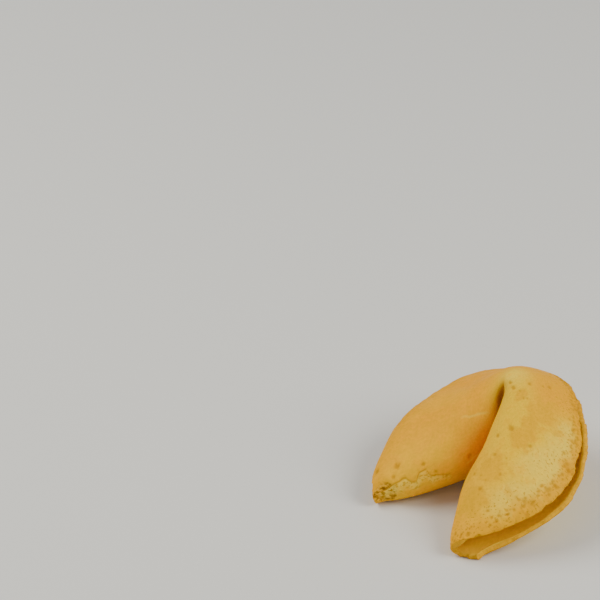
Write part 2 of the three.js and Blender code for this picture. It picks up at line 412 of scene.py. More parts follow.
def bezier(points, t):
    """Cubic curve through four control points, one array for each coordinate."""
    s = 1.0 - t
    weights = (s ** 3, 3.0 * s * s * t, 3.0 * s * t * t, t ** 3)
    return [sum(w * point[k] for w, point in zip(weights, points)) for k in range(len(points[0]))]


def wobble(distance, lengths, phase):
    """Mean of sines at unrelated lengths, between about -1 and 1."""
    return sum(np.sin(2.0 * math.pi * distance / length + phase * (k + 1))
               for k, length in enumerate(lengths)) / len(lengths)


def lattice(cells, seed):
    """A repeatable random number from -1 to 1 for each whole-number cell."""
    bits = seed * SEED_FACTOR + sum(cells[..., k] * factor for k, factor in enumerate(CELL_FACTORS))
    bits &= ALL_BITS
    for shift, factor in SCRAMBLING:
        bits = ((bits ^ (bits >> shift)) * factor) & ALL_BITS
    return (bits ^ (bits >> LAST_SHIFT)).astype(np.float64) / HALF_RANGE - 1.0


def noise(points, cell, seed):
    """Smooth random field from -1 to 1: lattice values at the corners of cells of the given size,
    blended across each cell by the cubic 3t^2 - 2t^3 along each axis."""
    scaled = points / cell
    low = np.floor(scaled).astype(np.int64)
    t = scaled - low
    t = t * t * (3.0 - 2.0 * t)
    total = np.zeros(points.shape[:-1])
    for corner in np.ndindex(2, 2, 2):
        weight = np.prod(np.where(np.array(corner) == 1, t, 1.0 - t), axis=-1)
        total += weight * lattice(low + np.array(corner), seed)
    return total


def layered_noise(points, cell, seed, layers=3):
    """Noise at a cell size, plus half as much at half the size, and so on."""
    total = sum(noise(points, cell / 2 ** k, seed + k) / 2 ** k for k in range(layers))
    return total / (2.0 - 0.5 ** (layers - 1))


def rough(points, roughness, seed):
    """Layered noise with the height and the cells of a roughness."""
    height, cell = roughness
    return height * layered_noise(points, cell, seed)


def lobe_face(lobe, leaf, u, v, ragged, broken):
    """Face of one leaf of one lobe. u runs from the bend (0) to the tip (1) and v from the fold
    (0) to the lip (1). A row is the angle u times the end angle. Its fold, shoulder and lip points
    lie on three plan curves, at the sine of that angle and at a share of it, and the row is the
    cubic that leaves the fold straight up, goes over a crest between shoulder and lip and comes
    down to the lip. Near the rim the ragged length is added to the row and the broken one cuts
    back the angle."""
    end = math.radians(lobe["end_degrees"])
    leaf_length = WAFER_RADIUS * np.cos(u * end)
    angle = u * end * (1.0 - broken / WAFER_RADIUS * u ** TIP_FADE_POWER)
    reach = 1.0 + ragged / leaf_length * v ** LIP_FADE_POWER

    to_tip = QUARTER_TURN - angle
    along = np.sin(angle)
    lobe_share = rounded(along, BEND_SOFTNESS) / rounded(1.0, BEND_SOFTNESS)
    lip_share = 1.0 - rounded(to_tip, LIP_ROUNDING_ANGLE) / rounded(QUARTER_TURN, LIP_ROUNDING_ANGLE)
    leaf_share = np.cos(angle)

    tip_x, tip_y = lobe["tip"]
    fold_length, fold_turn = lobe["fold_handle"]
    lip_length, lip_turn = lobe["lip_handle"]
    fold_turn, lip_turn = math.radians(fold_turn), math.radians(lip_turn)
    onward = [
        (tip_x - fold_length * math.sin(fold_turn), fold_length * math.cos(fold_turn) - tip_y),
        (tip_x, -tip_y)]
    fold_x, fold_y = bezier([(0.0, 0.0), CREASE_HANDLE] + onward, along)
    shoulder_x, shoulder_y = bezier([(0.0, 0.0), SHOULDER_HANDLE] + onward, along)
    lip_x, lip_y = bezier([
        (0.0, LIP_MIDDLE),
        (LIP_MIDDLE_HANDLE, LIP_MIDDLE),
        (tip_x + lip_length * math.cos(lip_turn), lip_length * math.sin(lip_turn) - tip_y),
        (tip_x, -tip_y)], lip_share)

    closing = np.hypot(to_tip, TIP_SPREAD_ANGLE) / np.hypot(to_tip, GAP_CLOSING_ANGLE)
    half_gap = closing * mix(HALF_GAP_MIDDLE, lobe["half_gap_at_tip"], lip_share ** 2)
    length = np.hypot(lip_x - fold_x, lip_y - fold_y)
    middle, width = LOWER_BELLY if leaf < 0 else UPPER_BELLY
    belly = lobe["lower_belly"] if leaf < 0 else lobe["upper_belly"]
    belly = belly * np.exp(-((lip_share - middle) / width) ** 2) / length
    lip_x, lip_y = lip_x + (lip_x - fold_x) * belly, lip_y + (lip_y - fold_y) * belly
    if leaf < 0:
        tongue = lobe["tongue"] * smooth(lip_share, TONGUE_START, TONGUE_FULL)
        lip_x = lip_x + math.sin(lip_turn) * tongue
        lip_y = lip_y - math.cos(lip_turn) * tongue

    fold_rise = leaf_share * mix(FOLD_RISE_AT_BEND, lobe["fold_rise"], lobe_share)
    crest_rise = leaf_share * mix(CREST_RISE_AT_BEND, lobe["crest_rise"], lobe_share)
    setback = mix(CREST_SETBACK_AT_BEND, lobe["crest_setback"],
                  1.0 - np.exp(-CREST_SETBACK_RATE * lobe_share))
    side = lobe["sign"]
    section = [
        (side * fold_x, fold_y, 0.0 * fold_x),
        (side * fold_x, fold_y, leaf * np.hypot(fold_rise, LEAST_FOLD_RISE)),
        (side * mix(shoulder_x, lip_x, setback), mix(shoulder_y, lip_y, setback),
         leaf * (np.hypot(crest_rise, LEAST_CREST_RISE) + half_gap / 2.0)),
        (side * lip_x, lip_y, leaf * half_gap),
    ]
    return np.stack(np.broadcast_arrays(*bezier(section, v * reach)), axis=-1)


def wafer_face(u, v, ragged, broken):
    """Whole face before any relief: u from the left tip (-1) to the right (1), v from the lower
    lip (-1) over the fold (0) to the upper lip (1), put together from the four leaves."""
    face = np.zeros((len(u), len(v), 3))
    for lobe, rows in ((LEFT_LOBE, u < 0), (RIGHT_LOBE, u >= 0)):
        for leaf, columns in ((-1, v < 0), (1, v >= 0)):
            part = np.ix_(rows, columns)
            face[part] = lobe_face(lobe, leaf, np.abs(u[rows])[:, None], np.abs(v[columns])[None, :],
                                   ragged[part], broken[part])
    return face


def row_angle(u):
    """Angle of each row: 0 at the bend, and each lobe's own near a quarter turn at its tip."""
    return u * np.radians(np.where(u < 0, LEFT_LOBE["end_degrees"], RIGHT_LOBE["end_degrees"]))


def flat_place(face, u, v):
    """Where a point lay on the flat wafer: along the fold by the sine of its row's angle, and
    across it by its share of the way along the row, measured on the face, times the cosine. Both
    are times the wafer's radius."""
    step = np.linalg.norm(np.diff(face, axis=1), axis=-1)
    fold = len(v) // 2
    way = np.zeros(face.shape[:2])
    way[:, fold + 1:] = np.cumsum(step[:, fold:], axis=1)
    way[:, :fold] = -np.cumsum(step[:, :fold][:, ::-1], axis=1)[:, ::-1]
    share = np.where(way > 0, way / way[:, -1:], -way / way[:, :1])
    angle = row_angle(u)[:, None]
    return np.stack(np.broadcast_arrays(
        WAFER_RADIUS * np.sin(angle), WAFER_RADIUS * np.cos(angle) * share), axis=-1)


def normals_of(face):
    """Unit normals from the neighbours in the grid, one-sided at its edges."""
    along = np.gradient(face, axis=0)
    across = np.gradient(face, axis=1)
    normal = np.cross(along, across)
    return normal / np.maximum(np.linalg.norm(normal, axis=-1, keepdims=True), LEAST_LENGTH)


def rim_shortening(u, v, settings, rng):
    """How far the lips stand out past the round wafer's rim, and how far the tips stand back from
    it, at every grid point. The lips have long waves, crumbs from noise, bites, each a bell curve
    at a random place along the lip, and the right lobe's worn places, which are bell curves too.
    The tips stand back by the size of a wobble, and by crumbs."""
    lip = (WAFER_RADIUS * QUARTER_TURN * u)[:, None]
    leaf = np.where(v < 0, -1.0, 1.0)[None, :]
    height, lengths, phase = RIM_WAVES
    waves = height * wobble(lip, lengths, phase + leaf)
    line = np.stack(np.broadcast_arrays(lip, LEAVES_APART * leaf, 0.0 * lip), axis=-1)
    crumbs = layered_noise(line, RIM_CRUMB_CELL, seed=11)
    place = rng.uniform(-BITE_REACH, BITE_REACH, BITE_COUNT)
    side = rng.choice((-1.0, 1.0), BITE_COUNT)
    width = rng.uniform(*BITE_WIDTHS, BITE_COUNT)
    depth = width * rng.uniform(*BITE_SLANT, BITE_COUNT)
    bells = depth * np.exp(-((lip[..., None] - place) / width) ** 2)
    bites = (bells * (leaf[..., None] == side)).sum(axis=-1)
    ragged = waves + settings.raggedness / MM * crumbs - bites
    for worn_leaf, (middle, half_width, worn) in ((1.0, UPPER_LIP_WEAR), (-1.0, LOWER_LIP_WEAR)):
        ragged -= (leaf == worn_leaf) * worn * np.exp(-((lip - middle) / half_width) ** 2)

    across = WAFER_RADIUS * np.cos(row_angle(u)[:, None]) * v[None, :]
    height, lengths, phase = TIP_WAVES
    tips = np.stack(np.broadcast_arrays(across, ENDS_APART * np.sign(u)[:, None], 0.0 * across), axis=-1)
    crumbs = 0.5 + 0.5 * layered_noise(tips, TIP_CRUMB_CELL, seed=17)
    broken = np.abs(height * wobble(across, lengths, phase)) + settings.raggedness / MM * crumbs
    return ragged, broken


def scatter_pores(face, flat, settings, rng):
    """Pits left by bubbles, in a band just inside the rim and a few over the rest: the sum of their
    depths and the strongest of their marks at each point. The left lobe has only those of the band
    that fall on its lower leaf, and some large ones. A pit is the bell exp(-(d/r)^4) of the
    distance d from the face's point nearest to its place, a little uneven by noise."""
    depth = np.zeros(flat.shape[:2])
    mark = np.zeros(flat.shape[:2])
    height, cell = PORE_ROUGHNESS
    uneven = 1.0 + height * noise(face, cell, seed=61)
    count = settings.pore_count
    in_band = rng.uniform(0.0, 1.0, count) < PORE_BAND_SHARE
    out = np.where(in_band, rng.normal(*PORE_BAND, count),
                   WAFER_RADIUS * np.sqrt(rng.uniform(0.0, PORE_AREA_SHARE, count)))
    angle = rng.uniform(0.0, 2.0 * math.pi, count)
    east = np.where(in_band & (angle > math.pi), np.cos(angle), np.abs(np.cos(angle)))
    centres = np.stack([out * east, out * np.sin(angle)], axis=-1)
    centres = np.vstack([centres, np.array(LARGE_PORES)[:, :2]])
    size = mix(*PORE_RADII, rng.uniform(0.0, 1.0, count) ** 2)
    radius = np.append(size, np.array(LARGE_PORES)[:, 2])
    for k, place in enumerate(centres):
        nearest = np.argmin(((flat - place) ** 2).sum(axis=-1))
        centre = face.reshape(-1, 3)[nearest]
        away = np.linalg.norm(face - centre, axis=-1) * uneven
        bell = np.exp(-(away / radius[k]) ** 4)
        depth += settings.pore_depth / MM * radius[k] / PORE_RADII[1] * bell
        mark = np.maximum(mark, bell)
    return depth, mark


def flaked_crust(flat, sheet):
    """Where the crust has flaked off along the left fold, and the crack along its upper edge: a
    point is flaked by how far it lies below the edge line, which noise makes ragged."""
    x, y = flat[..., 0], flat[..., 1]
    edge_x, edge_y = np.array(FLAKE_EDGE).T
    edge = np.interp(x, edge_x, edge_y) + rough(sheet, FLAKE_EDGE_ROUGHNESS, seed=31)
    ends = (smooth(x, edge_x[0] - FLAKE_ENDS[0], edge_x[0])
            * (1.0 - smooth(x, edge_x[-1], edge_x[-1] + FLAKE_ENDS[1])))
    below = edge - y + rough(sheet, FLAKE_FADE_ROUGHNESS, seed=37)
    flaked = ends * smooth(edge - y, *FLAKE_START) * (1.0 - smooth(below, *FLAKE_FADE))
    crack = ends * np.exp(-((edge - y) / CRACK_WIDTH) ** 2)
    return flaked, crack


def scratched(flat, sheet):
    """How deep in a scratch each point lies, 0 to 1: a bell of its distance from the nearest
    straight scratch, which noise bends."""
    mark = np.zeros(flat.shape[:2])
    height, cell = SCRATCH_ROUGHNESS
    bent = flat + height * np.stack([noise(sheet, cell, seed) for seed in (71, 72)], axis=-1)
    for start_x, start_y, end_x, end_y in SCRATCHES:
        start = np.array([start_x, start_y])
        way = np.array([end_x, end_y]) - start
        share = np.clip((bent - start) @ way / (way @ way), 0.0, 1.0)
        away = np.linalg.norm(bent - start - share[..., None] * way, axis=-1)
        mark = np.maximum(mark, np.exp(-(away / SCRATCH_WIDTH) ** 2) * np.sin(math.pi * share) ** 0.5)
    return mark


def creased(flat, crease):
    """How deep in the crease each point lies, 0 to 1: a bell of its distance from the bend's own
    row, which fades out short of the knuckle."""
    width, start, end = crease
    return np.exp(-(flat[..., 0] / width) ** 2) * (1.0 - smooth(np.abs(flat[..., 1]), start, end))


def gold_patches(flat):
    """How far each point lies in a patch of deeper gold, 0 to 1: bells of the distance from the
    middle of each patch, of which the highest counts."""
    mark = np.zeros(flat.shape[:-1])
    for x, y, radius in GOLD_PATCHES:
        away = np.hypot(flat[..., 0] - x, flat[..., 1] - y)
        mark = np.maximum(mark, np.exp(-(away / radius) ** 2))
    return mark


def relief(face, flat, u, settings, rng):
    """How far the outer face stands off, in millimetres, with the masks that colour it. Swellings
    are crossed sine waves. Blisters and grain are the low half of a noise. The chip, a bell
    exp(-(d/r)^4), cuts in, and so do pores, crack, scratches, flaked strip and crease. The chip's
    crumb is craggy."""
    clear = smooth(np.abs(u), *SWELLING_RANGE)[:, None]
    swelling = sum(height * np.sin(2.0 * math.pi * (face @ np.array(waves)) + phase)
                   for height, waves, phase in SWELLINGS)
    sheet = np.concatenate([flat, np.zeros(flat.shape[:2] + (1,))], axis=-1)

    away = np.linalg.norm(face - np.array(CHIP_CENTRE), axis=-1)
    chip = np.exp(-(away / CHIP_RADIUS) ** 4)
    edge = CHIP_RADIUS * (CRUMB_SHARE + rough(face, CRUMB_EDGE_ROUGHNESS, seed=5))
    crumb = smooth(edge - away, *CRUMB_FADE)
    crags = np.minimum(rough(face, CRAG_ROUGHNESS, seed=23) - CRAG_SINK, CRAG_LIMIT)

    pore_depth, pore = scatter_pores(face, flat, settings, rng)
    flaked, crack = flaked_crust(flat, sheet)
    scratch = scratched(flat, sheet)
    crease = creased(flat, CREASE_CUT) * smooth(np.abs(flat[..., 1]), *CREASE_CUT_START)

    blisters = np.minimum(rough(sheet, BLISTER_ROUGHNESS, seed=3), 0.0)
    grain_depth, grain_cell = GRAIN_ROUGHNESS
    grain = np.minimum(noise(sheet, grain_cell, seed=7), 0.0) * grain_depth
    flake_crags = 0.5 + 0.5 * layered_noise(sheet, FLAKE_CRAG_CELL, seed=43)
    height = (clear * swelling - CHIP_DEPTH * chip + blisters + grain
              - pore_depth * (1.0 - crumb) - CRACK_DEPTH * crack - SCRATCH_DEPTH * scratch
              - CREASE_CUT_DEPTH * crease
              - flaked * (FLAKE_STEP + FLAKE_CRAGS * flake_crags) + crumb * crags)
    return height, {"pore": np.maximum(pore, crack), "crumb": crumb, "flaked": flaked,
                    "scratch": scratch}


def wall_thickness(u, v, settings):
    """Thinner towards the rim, over the outer quarter of the way to it."""
    start = 1.0 - RIM_TAPER_SHARE
    near = np.maximum(smooth(np.abs(v), start, 1.0)[None, :], smooth(np.abs(u), start, 1.0)[:, None])
    return mix(settings.wall / MM, settings.wall_at_rim / MM, near)


def evened(grid, passes):
    """Each point inside the grid moves halfway to the mean of its four neighbours, again and
    again."""
    grid = grid.copy()
    for _ in range(passes):
        mean = (grid[2:, 1:-1] + grid[:-2, 1:-1] + grid[1:-1, 2:] + grid[1:-1, :-2]) / 4.0
        grid[1:-1, 1:-1] = (grid[1:-1, 1:-1] + mean) / 2.0
    return grid


def edge_loop(rows, columns):
    """Row and column numbers of the grid's four edges as one closed loop, two arrays."""
    down = np.arange(rows - 1)
    right = np.arange(columns - 1)
    i = np.concatenate([down, np.full(columns - 1, rows - 1), rows - 1 - down,
                        np.zeros(columns - 1, int)])
    j = np.concatenate([np.zeros(rows - 1, int), right, np.full(rows - 1, columns - 1),
                        columns - 1 - right])
    return i, j


def settled(points):
    """Turned about X and then Y to how the cookie rests, moved to its place, flat on the floor."""
    tilt, roll = math.radians(REST_TILT_DEGREES), math.radians(REST_ROLL_DEGREES)
    about_x = np.array([[1.0, 0.0, 0.0],
                        [0.0, math.cos(tilt), -math.sin(tilt)],
                        [0.0, math.sin(tilt), math.cos(tilt)]])
    about_y = np.array([[math.cos(roll), 0.0, math.sin(roll)],
                        [0.0, 1.0, 0.0],
                        [-math.sin(roll), 0.0, math.cos(roll)]])
    return points @ (about_x @ about_y).T + np.array(BEND_PLACE)


def quads(index):
    """Faces between neighbours of a grid of point numbers."""
    return np.stack([index[:-1, :-1], index[1:, :-1], index[1:, 1:], index[:-1, 1:]],
                    axis=-1).reshape(-1, 4)


def numbered(*grids):
    """Point numbers of several grids of points, one grid after the other."""
    first = 0
    for grid in grids:
        rows, columns = grid.shape[:2]
        yield first + np.arange(rows * columns).reshape(rows, columns)
        first += rows * columns


def rim_loops(outer, inner, face, loop, inner_loop):
    """Loops between the outer face's edge and the inner face's, stacked. Each lies its share of the
    way between the two, and bulges outward by a half sine, which crumbles by noise."""
    inner_edge = inner[inner_loop]
    between = (inner_edge + np.roll(inner_edge, -1, axis=0)) / 2.0
    inner_line = np.stack([inner_edge, between], axis=1).reshape(-1, 3)
    i, j = loop
    inside = face[np.clip(i, RIM_DIRECTION_STEPS, STEPS_ALONG - RIM_DIRECTION_STEPS),
                  np.clip(j, RIM_DIRECTION_STEPS, STEPS_ACROSS - RIM_DIRECTION_STEPS)]
    outward = face[loop] - inside
    outward /= np.linalg.norm(outward, axis=1, keepdims=True)
    loops = []
    for k in range(1, RIM_LOOPS + 1):
        share = k / (RIM_LOOPS + 1)
        line = mix(outer[loop], inner_line, share)
        crumble = rough(line, RIM_ROUGHNESS, seed=41) - RIM_SET_BACK
        bulge = (RIM_BULGE + crumble) * math.sin(math.pi * share)
        loops.append(line + outward * bulge[:, None])
    return np.stack(loops)


def joined(outer_index, rim_index, inner_index, loop, inner_loop):
    """Quads of the outer face, the rim and the inner face, and the triangles that join the rim's
    last loop to the inner face's edge, which has half as many points."""
    stack = np.vstack([outer_index[loop][None, :], rim_index])
    stack = np.hstack([stack, stack[:, :1]])
    faces = np.vstack([quads(outer_index), quads(stack.T)[:, ::-1], quads(inner_index)[:, ::-1]])
    last = stack[-1]
    edge = inner_index[inner_loop]
    edge = np.append(edge, edge[0])
    triangles = np.vstack([
        np.stack([last[0:-1:2], edge[:-1], last[1::2]], axis=-1),
        np.stack([last[1::2], edge[1:], last[2::2]], axis=-1),
        np.stack([last[1::2], edge[:-1], edge[1:]], axis=-1)])
    return faces, triangles


def place_masks(places):
    """Masks that follow from the place on the flat wafer: the share of the way out to the rim, and
    how far a point lies in each part of the wafer that is coloured its own way, 0 to 1: most as it
    was baked, the knuckle for a painted highlight, and the back, the crease and the fold for painted
    shade."""
    across, up = places[:, 0] / WAFER_RADIUS, places[:, 1] / WAFER_RADIUS
    from_knuckle = np.linalg.norm(places - np.array(KNUCKLE_HIGHLIGHT[:2]), axis=1)
    return {
        "out": np.linalg.norm(places, axis=1) / WAFER_RADIUS,
        "left": smooth(-across, *LEFT_RANGE),
        "flank": np.exp(-(up / FLANK_WIDTH) ** 2) * smooth(across, *FLANK_RANGE),
        "low": np.exp(-(up / LOW_SIDE_WIDTH) ** 2) * smooth(-across, *LOW_SIDE_RANGE),
        "behind": smooth(np.abs(up), *BACK_START) * (1.0 - smooth(across, *BACK_END)),
        "knuckle": np.exp(-(from_knuckle / KNUCKLE_HIGHLIGHT[2]) ** 2),
        "crease": creased(places, CREASE_SHADE),
        "fold": np.exp(-(places[:, 1] / INNER_FOLD_SHADE_REACH) ** 2),
        "gold": gold_patches(places),
    }


def cookie_surface(settings):
    """Closed surface of the wafer: points in metres, quads, triangles, its masks by name, and where
    each point lay on the flat wafer, the two faces apart.

    The outer face is the folded face plus relief along its normals. The inner face is every second
    point of the folded face, moved in by the wall and evened out."""
    rng = np.random.default_rng(settings.seed)
    u = np.linspace(-1.0, 1.0, STEPS_ALONG + 1)
    v = np.linspace(-1.0, 1.0, STEPS_ACROSS + 1)
    v = v * (1.0 + LIP_CROWDING * (1.0 - np.abs(v)))
    ragged, broken = rim_shortening(u, v, settings, rng)
    face = wafer_face(u, v, ragged, broken)
    flat = flat_place(face, u, v)
    height, relief_masks = relief(face, flat, u, settings, rng)
    outer = face + normals_of(face) * height[..., None]

    coarse = face[::2, ::2]
    wall = wall_thickness(u[::2], v[::2], settings)
    inner = evened(coarse - normals_of(coarse) * wall[..., None], INNER_SMOOTHING_PASSES)

    loop = edge_loop(*outer.shape[:2])
    inner_loop = edge_loop(*inner.shape[:2])
    rim = rim_loops(outer, inner, face, loop, inner_loop)
    outer_index, rim_index, inner_index = numbered(outer, rim, inner)
    faces, triangles = joined(outer_index, rim_index, inner_index, loop, inner_loop)

    points = settled(np.vstack([part.reshape(-1, 3) for part in (outer, rim, inner)]))
    low, high = (np.array(corner) / MM for corner in CAD_BOX)
    points = np.clip(points, low, high) * MM

    rim_flat = np.tile(flat[loop], (RIM_LOOPS, 1))
    places = np.vstack([flat.reshape(-1, 2), rim_flat, flat[::2, ::2].reshape(-1, 2)])
    on_outer, on_inner = np.zeros(outer_index.size), np.zeros(inner_index.size)
    layer = np.concatenate([on_outer, np.full(rim_index.size, RIM_LAYER), on_inner + 1.0])
    values = place_masks(places) | {"inside": layer}
    for name, mask in relief_masks.items():
        on_rim = np.full(rim_index.size, RIM_CRUMB if name == "crumb" else 0.0)
        values[name] = np.concatenate([mask.ravel(), on_rim, on_inner])
    wafer = np.column_stack([places, LAYERS_APART * layer]) * MM
    return points, faces, triangles, values, wafer


def closed_mesh(name, points, faces, triangles, values, wafer):
    """Mesh object of the surface, with its masks as attributes and its flat place as a vector."""
    mesh = bpy.data.meshes.new(name)
    mesh.from_pydata(points.tolist(), [], faces.tolist() + triangles.tolist())
    for key, value in values.items():
        layer = mesh.attributes.new(key, "FLOAT", "POINT")
        layer.data.foreach_set("value", np.ascontiguousarray(value, np.float32))
    layer = mesh.attributes.new("wafer", "FLOAT_VECTOR", "POINT")
    layer.data.foreach_set("vector", np.ascontiguousarray(wafer, np.float32).ravel())
    mesh.shade_smooth()
    mesh.update()
    piece = bpy.data.objects.new(name, mesh)
    bpy.context.scene.collection.objects.link(piece)
    return piece


class Nodes:
    """A material's node tree, with one short call for each kind of node it needs."""

    def __init__(self, material):
        material.use_nodes = True
        self.tree = material.node_tree
        self.shader = self.tree.nodes["Principled BSDF"]

    def add(self, kind, inputs=None, **settings):
        node = self.tree.nodes.new(kind)
        for key, value in settings.items():
            setattr(node, key, value)
        for key, value in (inputs or {}).items():
            if isinstance(value, bpy.types.NodeSocket):
                self.tree.links.new(value, node.inputs[key])
            else:
                node.inputs[key].default_value = value
        return node

    def mask(self, name):
        """One of the piece's own masks."""
        return self.add("ShaderNodeAttribute", attribute_name=name).outputs["Fac"]

    def place(self, name):
        return self.add("ShaderNodeAttribute", attribute_name=name).outputs["Vector"]

    def noise(self, vector, scale, detail, roughness):
        return self.add("ShaderNodeTexNoise", {
            "Vector": vector, "Scale": scale, "Detail": detail,
            "Roughness": roughness}).outputs["Fac"]

    def ramp(self, value, low, high, start=0.0, full=1.0):
        """The value from low..high brought to start..full along a smooth step."""
        return self.add("ShaderNodeMapRange", {
            "Value": value, "From Min": low, "From Max": high, "To Min": start, "To Max": full},
            interpolation_type="SMOOTHSTEP").outputs["Result"]

    def math(self, operation, a, b=0.0):
        return self.add("ShaderNodeMath", {0: a, 1: b}, operation=operation).outputs["Value"]

    def all_of(self, mask, *others):
        """Product of masks."""
        for other in others:
            mask = self.math("MULTIPLY", mask, other)
        return mask

    def any_of(self, mask, *others):
        """The strongest of masks."""
        for other in others:
            mask = self.math("MAXIMUM", mask, other)
        return mask

    def blend(self, share, a, b, blend_type="MIX"):
        """Colour a, going to colour b as the share goes from 0 to 1."""
        node = self.add("ShaderNodeMix", data_type="RGBA", blend_type=blend_type)
        for key, value in ((0, share), (6, a), (7, b)):
            if isinstance(value, bpy.types.NodeSocket):
                self.tree.links.new(value, node.inputs[key])
            else:
                node.inputs[key].default_value = value
        return node.outputs[2]

    def laid_over(self, colour, top, mask, strength):
        """The colour with another laid over it where the mask is, as strongly as given."""
        return self.blend(self.all_of(mask, strength), colour, rgba(top))


def rgba(colour):
    return (*colour, 1.0)


def outer_colour(nodes, settings, ring, broad, patch, blotch):
    """Colour of the outer face. The right lobe is golden, with deeper gold spots and patches, and
    pale in a ring, and a painted highlight makes the knuckle on top of the crest pale. The left lobe
    and the flank are tan, and painted shade makes the back behind the crest tan too. Over all that
    the rim is toasted and here and there scorched, and painted shade darkens the crease."""
    left = nodes.mask("left")
    right = nodes.math("SUBTRACT", 1.0, left)
    low_side = nodes.all_of(nodes.mask("low"), nodes.ramp(patch, *LOW_SIDE_SPAN, *LOW_SIDE_GOLDEN))
    golden = nodes.any_of(low_side, nodes.ramp(broad, *GOLDEN_SPAN, *BROAD_GOLDEN))
    tan = nodes.all_of(left, nodes.math("SUBTRACT", 1.0, golden))
    colour = nodes.blend(tan, rgba(settings.golden), rgba(settings.tan))
    # Tan on the flank, and painted shade in the tan colour on the back, behind the crest
    tan_and_shade = nodes.any_of(nodes.mask("flank"), nodes.mask("behind"))
    colour = nodes.laid_over(colour, settings.tan, tan_and_shade, TAN_STRENGTH)

    pale = nodes.all_of(nodes.ramp(ring, *PALE_RING), nodes.ramp(ring, *PALE_RING_END, 1.0, 0.0),
                        right, nodes.ramp(tan_and_shade, *TAN_SPAN, 1.0, 0.0))
    # Painted highlight: the knuckle on top of the crest is made pale
    pale = nodes.any_of(pale, nodes.mask("knuckle"), nodes.mask("scratch"))
    colour = nodes.laid_over(colour, settings.pale, pale, PALE_STRENGTH)

    spots = nodes.all_of(nodes.ramp(blotch, *SPOT_SPAN, 0.0, SPOT_MOST), right,
                         nodes.ramp(ring, *SPOTS_END, 1.0, SPOT_AT_RIM))
    shift = nodes.ramp(patch, *NOISE_SPAN, -GOLD_PATCH_SHIFT, GOLD_PATCH_SHIFT)
    patches = nodes.math("ADD", nodes.mask("gold"), shift)
    spots = nodes.any_of(spots, nodes.ramp(patches, *GOLD_PATCH_SPAN))
    colour = nodes.laid_over(colour, settings.gold_spot, spots, SPOT_STRENGTH)

    lip = nodes.math("ADD", nodes.mask("out"), nodes.ramp(patch, *NOISE_SPAN, -LIP_SHIFT, LIP_SHIFT))
    toasted = nodes.ramp(lip, *TOASTED_RING)
    colour = nodes.laid_over(colour, settings.toasted, toasted, TOASTED_STRENGTH)
    scorched = nodes.all_of(nodes.ramp(lip, *SCORCHED_RING), nodes.ramp(blotch, *SCORCHED_SPAN))
    colour = nodes.laid_over(colour, settings.browned_and_shade, scorched, SCORCHED_STRENGTH)
    # Painted shade: the crease is darkened where its shadow falls
    return nodes.laid_over(colour, settings.browned_and_shade, nodes.mask("crease"), CREASE_SHADE_STRENGTH)


def broken_colour(nodes, settings, colour, patch, fine):
    """The colour with broken crumb over it, light and dark grains, and the flaked strip, whose
    grains are pale with dark gaps."""
    crumb = nodes.blend(nodes.ramp(fine, *CRUMB_SPAN), rgba(settings.crumb_dark),
                        rgba(settings.crumb_light))
    colour = nodes.blend(nodes.all_of(nodes.mask("crumb"), CRUMB_STRENGTH), colour, crumb)
    flaked = nodes.all_of(nodes.mask("flaked"), nodes.ramp(patch, *FLAKE_SPAN, *FLAKE_SHARES))
    grains = nodes.blend(nodes.ramp(fine, *FLAKE_GRAIN_SPAN), rgba(settings.pore),
                         rgba(settings.pale))
    return nodes.blend(flaked, colour, grains)


def pitted(nodes, wafer, ring, inside):
    """Mask of the pores and the crack, and of specks finer than them, which are thickest in the
    band along the rim and thin on the left lobe. The inner face has none."""
    speck = nodes.all_of(nodes.ramp(nodes.noise(wafer, *SPECK_NOISE), *SPECK_SPAN),
                         nodes.ramp(ring, *SPECK_RING, *SPECK_SHARES),
                         nodes.ramp(inside, *SPECK_END_SPAN, 1.0, 0.0),
                         nodes.ramp(nodes.mask("left"), *LEFT_SPECK_SPAN, 1.0, SPECK_SHARE_LEFT))
    return nodes.any_of(nodes.mask("pore"), speck)


